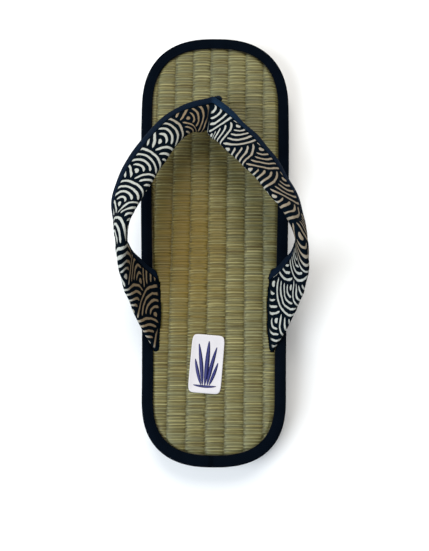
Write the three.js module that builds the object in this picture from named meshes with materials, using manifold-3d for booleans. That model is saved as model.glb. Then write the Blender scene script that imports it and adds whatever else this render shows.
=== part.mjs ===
// Zori sandal: a foam sole, a woven rush footbed in a cloth binding, and a padded V strap on a toe post.
// Millimetres, +Z up, toe towards +Y. The origin is on the floor under the middle of the sole.
import * as THREE from "three";
import Module from "manifold-3d";

const wasm = await Module();
wasm.setup();

// Sole outline, measured along the sandal from the heel end
const LENGTH = 280;
const HEEL_HALF_WIDTH = 44;
const BALL_HALF_WIDTH = 48.7;
const WIDENING_START = 30;
const WIDENING_END = 225;
const HEEL_ROUND = 42;
const TOE_ROUND = 49;
const ROUND_POWER = 2.5;
const END_STEPS = 13;
const SIDE_STEPS = 11;

// Sole thickness and toe spring
const HEEL_SOLE = 17;
const BALL_SOLE = 12;
const DROP_START = 50;
const DROP_END = 215;
const SPRING_START = 222;
const TOE_SPRING = 4;
const SOLE_EDGE_ROUND = 2;

// Woven mat and its binding
const CLEARANCE = 0.3;
const MAT_THICKNESS = 5;
const COLUMN_PITCH = 11.66;
const COLUMN_PHASE = -5.3;
const COLUMN_SKEW = THREE.MathUtils.degToRad(0.54);
const COLUMN_RELIEF = 0.9;
const COLUMN_STEPS = [0, 0.07, 0.22, 0.5, 0.78, 0.93];
const MAT_ROWS = 16;
const BINDING_WIDTH = 7;
const BINDING_CLOTH = 1;
const BINDING_ROUND = 1.8;

// Strap: the rows run from the apex back past the slit of one arm, whose tail is then trimmed level.
// along: from the heel end; spread: from the strap's middle line; up: above the footbed;
// roll: degrees that the face turns outward; width and thick: size of the padded tube
const ARM = [
  { along: 218.6, spread: 0, up: 18, roll: 0, width: 24.5, thick: 8 },
  { along: 208.8, spread: 13.2, up: 22.5, roll: 6, width: 22.6, thick: 7.8 },
  { along: 196.2, spread: 24, up: 28, roll: 14, width: 22, thick: 7.5 },
  { along: 182.3, spread: 34.7, up: 33, roll: 22, width: 22, thick: 7.5 },
  { along: 169.5, spread: 41.7, up: 37, roll: 33, width: 22, thick: 7.5 },
  { along: 157.6, spread: 47.2, up: 39, roll: 42, width: 22, thick: 7.5 },
  { along: 147.2, spread: 50.6, up: 40, roll: 58, width: 22, thick: 7.5 },
  { along: 136.5, spread: 52.9, up: 39, roll: 74, width: 22, thick: 7.4 },
  { along: 127.5, spread: 53.2, up: 34, roll: 92, width: 23, thick: 7.2 },
  { along: 120.5, spread: 52.2, up: 26, roll: 111, width: 26, thick: 6.7 },
  { along: 113, spread: 48.8, up: 17, roll: 125, width: 30, thick: 6 },
  { along: 104.8, spread: 43.2, up: 8.5, roll: 133, width: 33, thick: 5 },
  { along: 94.6, spread: 36.4, up: 0, roll: 136.6, width: 34.5, thick: 4.2 },
  { along: 71.4, spread: 22.3, up: -19, roll: 136.6, width: 34.5, thick: 4.2 },
];
const ARM_SECTIONS = 26;
const FAN_SPREAD = 13;
const TUBE_POWER = 2.3;
const TAIL_START = 0.72;
const SLIT_ALONG = 94.6;
const TAIL_DEPTH = 9;
const APEX_END = 0.2;
const LEAN = 7;
const LEAN_CENTRE = 187;
const LEAN_FRONT = 62;
const LEAN_REAR = 85;
const TWIST = 12;
const TWIST_END = 0.5;

// Edging strip wrapped round the strap's outer edge, as degrees round the tube's section
const EDGING_TURN = 50;
const EDGING_CLOTH = 0.8;
const EDGING_STEPS = 6;
const EDGING_SEAM_TURN = 2;
const TUBE_STEPS = 15;
const SLEEVE_SIDES = 24;

// Toe post
const POST_ALONG = 228;
const POST_ACROSS = -1;
const POST_RADIUS = 4.8;
const POST_FOOT_RADIUS = 4;
const POST_DEPTH = 9;
const POST_TOP = 18;
const POST_SIDES = 20;

const smoothstep = THREE.MathUtils.smoothstep;
const lerp = THREE.MathUtils.lerp;
const middle = (along) => along - LENGTH / 2;

// Closed solid from shared points and triangles, turned so that its faces point out
function solid(points, triangles) {
  let volume = 0;
  for (const [a, b, c] of triangles) {
    volume += points[a].dot(points[b].clone().cross(points[c]));
  }
  const outward = volume < 0 ? triangles.map(([a, b, c]) => [a, c, b]) : triangles;
  return new wasm.Manifold(new wasm.Mesh({
    numProp: 3,
    vertProperties: new Float32Array(points.flatMap((point) => point.toArray())),
    triVerts: new Uint32Array(outward.flat()),
  }));
}

// Side walls between rings of equal length; a closed run joins the last ring to the first
function walls(rings, closed) {
  const count = rings[0].length;
  const triangles = [];
  const runs = closed ? rings.length : rings.length - 1;
  for (let ring = 0; ring < runs; ring++) {
    const here = ring * count;
    const next = ((ring + 1) % rings.length) * count;
    for (let k = 0; k < count; k++) {
      const after = (k + 1) % count;
      triangles.push([here + k, here + after, next + k], [here + after, next + after, next + k]);
    }
  }
  return triangles;
}

// Solid through a row of rings, closed by the same cap triangles at both ends
function loft(rings, cap) {
  const last = (rings.length - 1) * rings[0].length;
  const triangles = walls(rings, false);
  for (const [a, b, c] of cap) {
    triangles.push([b, a, c], [last + a, last + b, last + c]);
  }
  return solid(rings.flat(), triangles);
}

// Ring-shaped solid through sections set round a closed line
function hoop(sections) {
  return solid(sections.flat(), walls(sections, true));
}

// Cap across an outline that runs up one side and back down the other
function crossCap(count) {
  const half = count / 2;
  const triangles = [[0, 1, count - 1]];
  for (let k = 1; k < half - 1; k++) {
    triangles.push([k, k + 1, count - k], [k + 1, count - k - 1, count - k]);
  }
  triangles.push([half - 1, half, half + 1]);
  return triangles;
}

// Cap across a flat contour, wound the way that the contour runs
function flatCap(contour) {
  const triangles = THREE.ShapeUtils.triangulateShape(contour, []);
  return THREE.ShapeUtils.isClockWise(contour) ? triangles.map(([a, b, c]) => [a, c, b]) : triangles;
}

function sideHalfWidth(along) {
  return lerp(HEEL_HALF_WIDTH, BALL_HALF_WIDTH, smoothstep(along, WIDENING_START, WIDENING_END));
}

// One side of the sole's outline from heel to toe: straight sides between ends rounded as superellipses
function outlineSide() {
  const side = [];
  for (let k = 0; k <= END_STEPS; k++) {
    const turn = (k / END_STEPS) * Math.PI / 2;
    const along = HEEL_ROUND * (1 - Math.cos(turn) ** (2 / ROUND_POWER));
    side.push([sideHalfWidth(along) * Math.sin(turn) ** (2 / ROUND_POWER), along]);
  }
  for (let k = 1; k < SIDE_STEPS; k++) {
    const along = lerp(HEEL_ROUND, LENGTH - TOE_ROUND, k / SIDE_STEPS);
    side.push([sideHalfWidth(along), along]);
  }
  for (let k = END_STEPS; k >= 0; k--) {
    const turn = (k / END_STEPS) * Math.PI / 2;
    const along = LENGTH - TOE_ROUND * (1 - Math.cos(turn) ** (2 / ROUND_POWER));
    side.push([sideHalfWidth(along) * Math.sin(turn) ** (2 / ROUND_POWER), along]);
  }
  return side.map(([across, along]) => new THREE.Vector2(across, along));
}

// The whole outline drawn in by an inset, as points across and along
function outline(inset) {
  const side = outlineSide();
  const last = side.length - 1;
  const drawnIn = side.map((point, k) => {
    if (k === 0) return new THREE.Vector2(0, point.y + inset);
    if (k === last) return new THREE.Vector2(0, point.y - inset);
    const run = side[k + 1].clone().sub(side[k - 1]).normalize();
    return new THREE.Vector2(point.x - run.y * inset, point.y + run.x * inset);
  });
  const otherSide = drawnIn.slice(1, last).reverse();
  return [...drawnIn, ...otherSide.map((point) => new THREE.Vector2(-point.x, point.y))];
}

function outlineRing(inset, height) {
  return outline(inset).map((point) => new THREE.Vector3(point.x, middle(point.y), height(point.y)));
}

// Heights along the sandal
function underside(along) {
  const past = Math.max(0, along - SPRING_START) / (LENGTH - SPRING_START);
  return TOE_SPRING * past ** 2;
}

function soleTop(along) {
  return underside(along) + lerp(HEEL_SOLE, BALL_SOLE, smoothstep(along, DROP_START, DROP_END));
}

const matUnderside = (along) => soleTop(along) + CLEARANCE;
const footbed = (along) => matUnderside(along) + MAT_THICKNESS;
const matRim = (along) => footbed(along) - BINDING_CLOTH - CLEARANCE;

// Lean of the soft strap to one side, strongest along the middle of its arms
function lean(along) {
  const reach = along > LEAN_CENTRE ? LEAN_FRONT : LEAN_REAR;
  const away = THREE.MathUtils.clamp((along - LEAN_CENTRE) / reach, -1, 1);
  return -LEAN * Math.cos(away * Math.PI / 2) ** 2;
}

const ARM_PATH = new THREE.CatmullRomCurve3(
  ARM.map((row) => new THREE.Vector3(row.spread, middle(row.along), footbed(row.along) + row.up)));
const ARM_FORM = new THREE.CatmullRomCurve3(
  ARM.map((row) => new THREE.Vector3(row.roll, row.width, row.thick)));

// Frame of one arm's section: centre, direction to the outer edge, face normal and size.
// Near the apex the sections fan round the inner corner, so that the two arms meet in a mitre,
// and behind it the arm on the side of the lean lies flatter than the other.
function armFrame(t, side) {
  const centre = ARM_PATH.getPoint(t);
  const form = ARM_FORM.getPoint(t);
  const fan = Math.min(1, centre.x / FAN_SPREAD);
  const run = new THREE.Vector3(1, 0, 0).lerp(ARM_PATH.getTangent(t), fan).normalize();
  const level = new THREE.Vector3(-run.y, run.x, 0).normalize();
  const untwist = side < 0 ? TWIST * Math.sin(Math.PI * Math.min(1, t / TWIST_END)) : 0;
  const outward = level.applyAxisAngle(run, THREE.MathUtils.degToRad(untwist - form.x));
  const face = new THREE.Vector3().crossVectors(run, outward);
  return { centre, run, outward, face, width: form.y, thick: form.z };
}

// Point on the strap's section: turn 0 is the outer edge, 90 degrees the face, 180 the inner edge
function sectionPoint(turn, inset, width, thick) {
  const angle = THREE.MathUtils.degToRad(turn);
  const bulge = (value) => Math.sign(value) * Math.abs(value) ** (2 / TUBE_POWER);
  return new THREE.Vector2(
    (width / 2 - inset) * bulge(Math.cos(angle)), (thick / 2 - inset) * bulge(Math.sin(angle)));
}

function armRing(t, section, side) {
  const frame = armFrame(t, side);
  return section.map(({ turn, inset }) => {
    const flat = sectionPoint(turn, inset, frame.width, frame.thick);
    const point = frame.centre.clone();
    point.addScaledVector(frame.outward, flat.x).addScaledVector(frame.face, flat.y);
    point.x = side * point.x + lean(point.y + LENGTH / 2);
    return point;
  });
}

// Rings from the tail of one arm over the apex to the tail of the other
function strapRings(section, end) {
  const steps = Math.round(ARM_SECTIONS * end);
  const rings = [];
  for (let k = -steps; k <= steps; k++) {
    rings.push(armRing(Math.abs(k) / ARM_SECTIONS, section, Math.sign(k) || 1));
  }
  return rings;
}

function sectionCap(section) {
  const { width, thick } = ARM.at(-1);
  return flatCap(section.map(({ turn, inset }) => sectionPoint(turn, inset, width, thick)));
}

// Even steps round part of the strap's section at one inset
function sectionArc(from, to, steps, inset) {
  return Array.from({ length: steps + 1 }, (_, k) => ({ turn: lerp(from, to, k / steps), inset }));
}

const seat = EDGING_CLOTH + CLEARANCE;
const seam = EDGING_TURN + EDGING_SEAM_TURN;
const TUBE = [
  ...sectionArc(-EDGING_TURN, EDGING_TURN, EDGING_STEPS, seat),
  ...sectionArc(seam, 360 - seam, TUBE_STEPS, 0),
];
const EDGING = [
  ...sectionArc(-EDGING_TURN, EDGING_TURN, EDGING_STEPS, 0),
  ...sectionArc(EDGING_TURN, -EDGING_TURN, EDGING_STEPS, EDGING_CLOTH),
];
const SLEEVE = sectionArc(0, 360, SLEEVE_SIDES, -CLEARANCE).slice(1);

// Tail cut off level inside the sole
function trimTail(form, extra) {
  const level = footbed(SLIT_ALONG) - TAIL_DEPTH - extra;
  const rings = [outlineRing(0, () => -LENGTH), outlineRing(0, () => level)];
  return form.subtract(loft(rings, crossCap(rings[0].length)));
}

// Space that a tail needs in the mat and sole, a little deeper than the tail itself
function tailSpace(side) {
  const first = Math.round(ARM_SECTIONS * TAIL_START);
  const rings = [];
  for (let k = first; k <= ARM_SECTIONS; k++) {
    rings.push(armRing(k / ARM_SECTIONS, SLEEVE, side));
  }
  return trimTail(loft(rings, sectionCap(SLEEVE)), CLEARANCE);
}

// Round bar standing on the toe post's line
function postBar(growth, bottom, top) {
  const levels = [
    { radius: POST_FOOT_RADIUS + growth, height: bottom },
    { radius: POST_RADIUS + growth, height: footbed(POST_ALONG) },
    { radius: POST_RADIUS + growth, height: top },
  ];
  const rings = levels.map(({ radius, height }) => Array.from({ length: POST_SIDES }, (_, k) => {
    const turn = (k / POST_SIDES) * Math.PI * 2;
    const across = POST_ACROSS + radius * Math.cos(turn);
    return new THREE.Vector3(across, middle(POST_ALONG) + radius * Math.sin(turn), height);
  }));
  return loft(rings, flatCap(rings[0].map((point) => new THREE.Vector2(point.x, point.y))));
}

const postBottom = footbed(POST_ALONG) - POST_DEPTH;

function makeSole() {
  const rings = [
    outlineRing(SOLE_EDGE_ROUND, underside),
    outlineRing(0, (along) => underside(along) + SOLE_EDGE_ROUND),
    outlineRing(0, soleTop),
  ];
  const slab = loft(rings, crossCap(rings[0].length));
  const postSpace = postBar(CLEARANCE, postBottom - CLEARANCE, footbed(POST_ALONG) + POST_TOP);
  return slab.subtract(tailSpace(1)).subtract(tailSpace(-1)).subtract(postSpace);
}

// Raised lengthwise columns of the weave, as a slab wider and longer than the mat
function weaveSlab() {
  const columns = Math.ceil(BALL_HALF_WIDTH / COLUMN_PITCH) + 1;
  const steps = [];
  for (let column = -columns; column < columns; column++) {
    steps.push(...COLUMN_STEPS.map((step) => column + step));
  }
  const rings = [];
  for (let row = 0; row <= MAT_ROWS; row++) {
    const along = lerp(0, LENGTH, row / MAT_ROWS);
    const shift = COLUMN_PHASE + along * Math.tan(COLUMN_SKEW);
    const ring = steps.map((step) => {
      const across = 2 * (step - Math.floor(step)) - 1;
      const dip = COLUMN_RELIEF * across ** 4;
      return new THREE.Vector3(shift + step * COLUMN_PITCH, middle(along), footbed(along) - dip);
    });
    const base = (matUnderside(along) + matRim(along)) / 2;
    ring.push(ring.at(-1).clone().setZ(base), ring[0].clone().setZ(base));
    rings.push(ring);
  }
  return loft(rings, flatCap(rings[0].map((point) => new THREE.Vector2(point.x, point.z))));
}

function makeFootbed() {
  const edge = BINDING_CLOTH + CLEARANCE;
  const rings = [outlineRing(edge, matUnderside), outlineRing(edge, matRim)];
  const plate = loft(rings, crossCap(rings[0].length));
  const field = BINDING_WIDTH + CLEARANCE;
  const tall = HEEL_SOLE + MAT_THICKNESS * 2;
  const fieldRings = [outlineRing(field, () => 0), outlineRing(field, () => tall)];
  const weave = weaveSlab().intersect(loft(fieldRings, crossCap(fieldRings[0].length)));
  const postSpace = postBar(CLEARANCE, postBottom, footbed(POST_ALONG) + POST_TOP);
  return plate.add(weave).subtract(tailSpace(1)).subtract(tailSpace(-1)).subtract(postSpace);
}

// L-section tape: a wall round the mat's edge and a flap folded over its top, nicked beside the tails
function makeBinding() {
  const foldStep = BINDING_ROUND * (1 - Math.SQRT1_2);
  const corners = [
    { inset: 0, drop: MAT_THICKNESS },
    { inset: 0, drop: BINDING_ROUND },
    { inset: foldStep, drop: foldStep },
    { inset: BINDING_ROUND, drop: 0 },
    { inset: BINDING_WIDTH, drop: 0 },
    { inset: BINDING_WIDTH, drop: BINDING_CLOTH },
    { inset: BINDING_CLOTH, drop: BINDING_CLOTH },
    { inset: BINDING_CLOTH, drop: MAT_THICKNESS },
  ];
  const tape = hoop(corners.map(({ inset, drop }) => outlineRing(inset, (along) => footbed(along) - drop)));
  return tape.subtract(tailSpace(1)).subtract(tailSpace(-1));
}

function makeStrap() {
  return trimTail(loft(strapRings(TUBE, 1), sectionCap(TUBE)), 0);
}

function makeEdging() {
  return trimTail(loft(strapRings(EDGING, 1), sectionCap(EDGING)), 0);
}

function makePost() {
  const sleeve = loft(strapRings(SLEEVE, APEX_END), sectionCap(SLEEVE));
  return postBar(0, postBottom, footbed(POST_ALONG) + POST_TOP).subtract(sleeve);
}

function addPiece(group, name, form, color, roughness) {
  const { vertProperties, triVerts } = form.getMesh();
  const geometry = new THREE.BufferGeometry();
  geometry.setAttribute("position", new THREE.BufferAttribute(vertProperties, 3));
  geometry.setIndex(new THREE.BufferAttribute(triVerts, 1));
  geometry.computeVertexNormals();
  const material = new THREE.MeshStandardMaterial({ color, roughness, metalness: 0 });
  const mesh = new THREE.Mesh(geometry, material);
  mesh.name = name;
  group.add(mesh);
}

const sandal = new THREE.Group();
addPiece(sandal, "sole", makeSole(), 0x17181a, 0.85);
addPiece(sandal, "tatami_footbed", makeFootbed(), 0xb9b892, 0.7);
addPiece(sandal, "edge_binding", makeBinding(), 0x1d2230, 0.8);
addPiece(sandal, "strap", makeStrap(), 0x4a5470, 0.85);
addPiece(sandal, "strap_edging", makeEdging(), 0x1f2740, 0.85);
addPiece(sandal, "toe_post", makePost(), 0x1d2230, 0.85);

export default sandal;
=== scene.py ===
import math
from collections import namedtuple

import bmesh
import bpy
import numpy as np
from mathutils import Matrix, Vector
from mathutils.bvhtree import BVHTree


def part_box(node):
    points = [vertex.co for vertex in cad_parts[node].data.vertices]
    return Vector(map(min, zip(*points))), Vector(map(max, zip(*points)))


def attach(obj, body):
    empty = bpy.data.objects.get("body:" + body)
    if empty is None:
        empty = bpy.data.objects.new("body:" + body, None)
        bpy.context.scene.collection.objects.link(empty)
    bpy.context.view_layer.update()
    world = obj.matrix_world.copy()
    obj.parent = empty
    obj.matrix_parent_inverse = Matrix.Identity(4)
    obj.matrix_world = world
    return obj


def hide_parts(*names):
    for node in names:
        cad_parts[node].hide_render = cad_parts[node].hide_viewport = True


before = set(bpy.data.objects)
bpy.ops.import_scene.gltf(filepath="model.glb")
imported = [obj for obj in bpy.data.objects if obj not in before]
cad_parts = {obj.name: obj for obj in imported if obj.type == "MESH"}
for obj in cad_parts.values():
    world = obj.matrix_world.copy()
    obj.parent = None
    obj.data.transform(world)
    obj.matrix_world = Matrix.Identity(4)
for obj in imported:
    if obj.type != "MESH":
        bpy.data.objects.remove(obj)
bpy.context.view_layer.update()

# Zori sandal: foam sole, woven rush footbed in a cloth binding, padded V strap and toe post.
# Sizes are in millimetres, in the frame of the solids: toe towards +Y, the floor at Z = 0.
MM = 0.001
WELD = 0.001

# Sole outline, measured along the sandal from the heel end
sole_low, sole_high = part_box("sole")
LENGTH = (sole_high.y - sole_low.y) / MM
BALL_HALF_WIDTH = sole_high.x / MM
HEEL_HALF_WIDTH = 44
WIDENING = (30, 225)
HEEL_ROUND = 42
TOE_ROUND = 49
ROUND_POWER = 2.5
END_STEPS = 44
SIDE_STEPS = 60

# Sole thickness, toe spring and the shallow grooves that run round its underside
HEEL_SOLE = 17
BALL_SOLE = 12
DROP = (50, 215)
SPRING_START = 222
TOE_SPRING = 4
SOLE_EDGE_ROUND = 2
SOLE_ROUND_STEPS = 6
SOLE_WALL_STEPS = (0.25, 0.5, 0.75, 0.94)
SOLE_TOP_INSETS = (0.25, 1.2)
SOLE_TOP_STEPS = (0.25, 0.5, 0.75, 1)
SPINE = (46, 230)
TREAD_INSETS = (8, 14, 20, 26, 32)
TREAD_SECTION = ((0.9, 0), (0.45, 0.8), (-0.45, 0.8), (-0.9, 0))

# Woven mat: lengthwise columns of rush strands that cross them, wide and fine strands in turn.
# A pair is where something starts and ends, or the limits of a random draw.
CLEARANCE = 0.3
MAT_THICKNESS = 5
MAT_INSET = 4.5
MAT_ROW_STEP = 0.26
MAT_END_MARGIN = 0.05
MAT_TUCK = (0.6, 2)
MAT_RIM_SHADE = 0.9
MAT_RIM_SHADE_REACH = 0.9
COLUMN_PITCH = 11.66
COLUMN_PHASE = -5.3
COLUMN_SKEW = math.radians(0.54)
COLUMN_STEPS = (0, 0.04, 0.08, 0.13, 0.3, 0.5, 0.7, 0.87, 0.92, 0.96)
COLUMN_RELIEF = 0.55
COLUMN_POWER = 4
COLUMN_VALLEY = 0.25
COLUMN_EDGE = (0.97, 1.08)
COLUMN_SHADE = 0.4
COLUMN_SHADE_EDGE = (0.97, 1.03)
# Painted light on each column: its left side paler and greener, its right side darker
COLUMN_LIT_PALE = 0.24
COLUMN_LIT_PALE_REACH = 0.25
COLUMN_LIT_GREEN = 0.5
RUSH_SEED = 11
STRAND_WIDE = (0.85, 1.65)
STRAND_FINE = (0.45, 0.95)
STRAND_START = (3, 8)
STRAND_END = (0, 0.12)
STRAND_TONE_MEAN = 0.52
STRAND_TONE_SPREAD = 0.13
STRAND_GREEN = (0, 0.55)
STRAND_GREEN_POWER = 1.3
STRAND_BOW = 0.25
STRAND_DRIFT = 0.25
STRAND_DRIFT_REACH = 9
STRAND_RELIEF = 0.36
STRAND_LIFT = 0.12
# Painted highlight along each strand's crest, weaker on fine strands
STRAND_HIGHLIGHT = 0.6
STRAND_HIGHLIGHT_REACH = 0.34
STRAND_GAP = (0.66, 1)
STRAND_GAP_SHADE = 0.8
FINE_SINK = 0.14
FINE_DARK = 0.1
FINE_HIGHLIGHT = 0.5

# Openings in the mat for the toe post and the strap's tails
POST_HOLE_ROOM = 0.5
POST_HOLE_POWER = 2
SLIT_FORWARD = 2.5
SLIT_HALF_WIDTH = 2.6
SLIT_HALF_LENGTH = 16.5
SLIT_POWER = 3
OPENING_STEPS = (-1.2, -0.95, -0.6, 0.6, 0.95, 1.2)
PIT_DEPTH = 0.82 * MAT_THICKNESS
PIT_EDGE = 1.35

# Painted shadow on the mat, amber where the left arm and tail keep the cool light off: how much, and the
# middle and reach of the patch
AMBER_SHADOW = 1.1
AMBER_SHADOW_ACROSS = (-20, 27)
AMBER_SHADOW_ALONG = (138, 60)

# Binding tape round the mat's edge, with a seam and fine puckers on its top
BINDING_WIDTH = 7
BINDING_CLOTH = 1
BINDING_WALL_DROPS = (MAT_THICKNESS, 4, 3, 2.2)
BINDING_ROUND = 1.8
BINDING_ROUND_STEPS = 8
BINDING_CROWN = 0.3
BINDING_TOP_STEPS = 10
BINDING_TOP_INSET = 1
BINDING_TOP_DROP = 0.2
BINDING_FOLD_STEPS = 6
BINDING_UNDER = 4
STITCH_INSET = 1.6
STITCH_SPREAD = 0.5
STITCH_PITCH = 3.4
STITCH_DENT = 0.12
PUCKER = 0.07
PUCKER_REACH = 2.3
PUCKER_SWAY = 1.3
PUCKER_SWAY_REACH = 11

# Strap: rows from the apex back past the slit of one arm.
# along: from the heel end; spread: from the strap's middle line; up: above the footbed;
# roll: degrees that the face turns outward; width and thick: size of the padded tube
Arm = namedtuple("Arm", "along spread up roll width thick")
ARM = [
    Arm(218.6, 0, 18, 0, 24.5, 8),
    Arm(208.8, 13.2, 22.5, 6, 22.6, 7.8),
    Arm(196.2, 24, 28, 14, 22, 7.5),
    Arm(182.3, 34.7, 33, 22, 22, 7.5),
    Arm(169.5, 41.7, 37, 33, 22, 7.5),
    Arm(157.6, 47.2, 39, 42, 22, 7.5),
    Arm(147.2, 50.6, 40, 58, 22, 7.5),
    Arm(136.5, 52.9, 39, 74, 22, 7.4),
    Arm(127.5, 53.2, 34, 92, 23, 7.2),
    Arm(120.5, 52.2, 26, 111, 26, 6.7),
    Arm(113, 48.8, 17, 125, 30, 6),
    Arm(104.8, 43.2, 8.5, 133, 33, 5),
    Arm(94.6, 36.4, 0, 136.6, 34.5, 4.2),
    Arm(71.4, 22.3, -19, 136.6, 34.5, 4.2),
]
SLIT_ROW = next(row for row in ARM if row.up == 0)
ARM_SECTIONS = 156
ARM_TANGENT_STEP = 1e-4
FAN_SPREAD = 13
TUBE_POWER = 2.3
TAIL_DEPTH = 3.6
LEAN = 7
LEAN_CENTRE = 187
LEAN_FRONT = 62
LEAN_REAR = 85
TWIST = 12
TWIST_END = 0.5
TUBE_STEPS = 84
TUBE_SWEEP_STEP = 3
SPACE_SIDES = 72
SPACE_GROWTH = 0.5

# Edging strip round the strap's outer edge, as degrees round the tube's section
EDGING_FACE_TURN = 56
EDGING_BACK_TURN = 58
EDGING_CLOTH = 0.8
EDGING_STEPS = 22
EDGING_LAP_ALONG = (-3, -2)
EDGING_LAP = 0.5
EDGING_LAP_FADE = 30
EDGING_PROUD = 0.12
EDGING_ROLL = 0.35
EDGING_ROLL_TURN = 4

# The cushion's turns outside and under the strip, and the seam that draws it in beside the strip
SHOWN_TURNS = (EDGING_FACE_TURN + 1.6, 360 - EDGING_BACK_TURN - 2.4)
TUCKED_TURNS = (360 - EDGING_BACK_TURN - 1.2, 360 + EDGING_FACE_TURN + 0.6)
BEHIND_TURN = (SHOWN_TURNS[1] + TUCKED_TURNS[0]) / 2
STRIP_SEAM = 0.5
STRIP_SEAM_TURN = 2.2

# Creases of the strap, listed one by one. along: from the apex, the left arm negative;
# around: from the middle of the face towards the inner edge; turn: degrees from straight across
Crease = namedtuple("Crease", "along around reach spread turn depth")
CREASES = [
    Crease(0.5, 7, 8, 1.5, 4, 1.1),
    Crease(-6, 8, 7, 1.6, -24, 0.7),
    Crease(7, 8, 7, 1.6, 24, 0.75),
    Crease(-12, 4, 7, 1.8, -32, 0.4),
    Crease(14, 5, 7, 1.8, 30, 0.4),
    Crease(86, 9, 6, 1.5, 10, 0.5),
    Crease(92, 9, 7, 1.6, -6, 0.6),
    Crease(98, 8, 7, 1.6, -14, 0.55),
    Crease(-86, 9, 6, 1.5, 12, 0.5),
    Crease(-91, 9, 7, 1.6, -4, 0.6),
    Crease(-97, 8, 7, 1.6, -10, 0.55),
    Crease(118, -2, 11, 1.8, 74, 0.5),
    Crease(122, 6, 12, 2.0, 82, 0.55),
    Crease(-118, -2, 11, 1.8, -74, 0.5),
    Crease(-122, 6, 12, 2.0, -82, 0.55),
]
CREASE_RIDGE = 0.35

# Lumps of the cushion: waves with a length along and round it, and a start
Ripple = namedtuple("Ripple", "along around start")
RIPPLES = (Ripple(6.1, 5.3, 0), Ripple(9.7, -7.9, 1.1), Ripple(3.3, -4.1, 0.7))
LUMP = 0.22

# How the soft strap lies at the apex: the left arm is pushed forward and tucked under the right one.
# The left arm's inner edge and the right arm's outer edge are drawn in, and the tails spread forward.
Settle = namedtuple("Settle", "along reach size")
LEFT_FORWARD = Settle(-25, 20, 5.2)
LEFT_NARROW = Settle(-28, 26, 0.17)
RIGHT_NARROW = Settle(18, 12, 0.22)
TAIL_FRONT = 0.35
TAIL_POWER = 4
TAIL = (118, 158)
APEX_TUCK = 3
APEX_TUCK_LEAST = 0.6
APEX_TUCK_EDGE = (4, 11)
APEX_TUCK_REACH = 8
APEX_TUCK_END = (-0.5, 0.9)

# Toe post: a cord of folded cloth that comes up in front of the apex.
# across and along: its middle; up: above the footbed
Post = namedtuple("Post", "across along up radius")
POST = [
    Post(-1, 228, -3.6, 4.2),
    Post(-1, 228, 4, 4.8),
    Post(-0.8, 228.2, 10, 4.8),
    Post(0.2, 229.2, 14.5, 4),
    Post(2, 229.9, 18, 2.6),
    Post(2.6, 229.7, 20.2, 1.8),
]
POST_SIDES = 48
POST_STEPS = 40
POST_DOME = 0.9
POST_LOBES = 4
POST_LOBE = 0.06
POST_TWIST = 1.6
POST_MARGIN = 0.8

# Label at the heel, a thin card with a raised rim and a motif of rush stalks.
# Its section has shares of its half size and heights, from the middle of the underside to the top's.
LABEL_PLACE = (-4.6, 62)
LABEL_WIDTH = 20
LABEL_HEIGHT = 36
LABEL_TURN = math.radians(-4.5)
LABEL_LIFT = 0.15
LABEL_SIDES = 120
LABEL_POWER = 9
LABEL_SECTION = [(0, 0), (0.985, 0), (1, 0.1), (1, 0.3), (0.98, 0.4),
                 (0.93, 0.4), (0.9, 0.3), (0.45, 0.3), (0, 0.3)]
Stroke = namedtuple("Stroke", "start bend end width")
STALKS = [
    Stroke((-1.5, -13), (-2.5, -2), (-5.5, 12), 2.4),
    Stroke((0, -13), (0.5, 0), (0.6, 14), 2.8),
    Stroke((1.5, -13), (2.5, -3), (5.6, 10.5), 2.4),
    Stroke((-2.4, -13), (-5, -6), (-7, 2.5), 2),
    Stroke((2.6, -13), (5, -7), (7, 1), 2),
    Stroke((-7, -13.4), (0, -14.4), (7, -13.4), 1.6),
]
STALK_STEPS = 24
STALK_BLUNT = 0.03
STALK_POWER = 0.6
STALK_SECTION = ((-1, 0.32), (0, 0.38), (1, 0.32), (0, 0.26))

# Wave print on the strap: dots ringed by arcs, on a lattice of columns that run along the cloth.
# Lengths along the cloth are from the apex, the left arm negative; lengths round it are from its crest.
WAVE_PERIOD = 24
WAVE_COLUMN = 16
WAVE_COLUMN_SHIFT = 10.5
WAVE_ROW_ORDER = 4
WAVE_OUTSIDE = 1000
WAVE_BAND = 3.75
WAVE_DOT = 1.2
WAVE_STRIPE = 0.65
WAVE_BOLD = 0.06
WAVE_BOLD_RANGE = (-14, -26)
WAVE_REACH = 18.6
WAVE_RIGHT_START = (9.3, 11.3)
WAVE_LEFT_START = (7, 0.3)
WAVE_TIP = 1.5
WAVE_EDGE = 0.22
WAVE_WOBBLE = 0.8

# Where the print fades out: at the apex seam, and at the slits by height above the footbed, as painted
# shade where the strap goes into the mat
SEAM_RANGE = (0.84, 2.24)
SLIT_RANGE = (0.6, 1.8)

# Painted shade on the cream, mixed towards brown: on the left tail and the tucked end of the left arm,
# and tan down the right arm, but not where the cloth turns over at the right arm's inner edge and the
# left tail's outer edge, which stay lit
BROWN = 0.8
BROWN_TAIL = (-104, -118)
BROWN_TAIL_TURN = (14.5, 20.5)
BROWN_TUCKED = (-35, -20)
TAN = 0.8
TAN_START = (14, 54)
TAN_END = (121, 113)
TAN_TURN = 14.5
TAN_TURN_REACH = 4.5
TAN_ROLL = 26
TAN_ROLL_RANGE = (84, 124)

# Painted highlight on the strip: paler on the right arm from the apex, darker elsewhere
STRIP_HIGHLIGHT_REACH = 3
STRIP_HIGHLIGHT_LENGTH = 42
STRIP_HIGHLIGHT_LEAST = 0.22

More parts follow.
